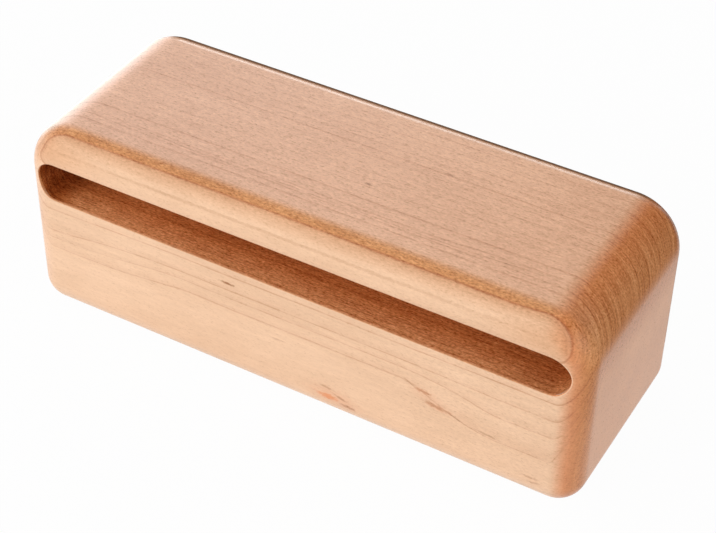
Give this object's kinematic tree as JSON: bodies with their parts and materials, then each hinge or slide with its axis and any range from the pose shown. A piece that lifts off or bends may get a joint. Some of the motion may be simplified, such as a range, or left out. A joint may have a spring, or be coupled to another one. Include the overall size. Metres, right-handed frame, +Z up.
{
  "type": "wood block",
  "caption": "Solid hardwood percussion block with rounded edges and a deep, round-ended resonance slot along its front, struck on its top.",
  "frame": {"origin": "middle of the flat base, on the surface that the block rests on", "axes": "+X along the length, -Y towards the front with the slot, +Z up to the struck top"},
  "size_m": [0.2, 0.0746, 0.0727],
  "materials": {
    "lacquered_maple": "satin clear lacquer over pale maple"
  },
  "bodies": {
    "root": {"wood_block": "lacquered_maple"}
  },
  "joints": []
}
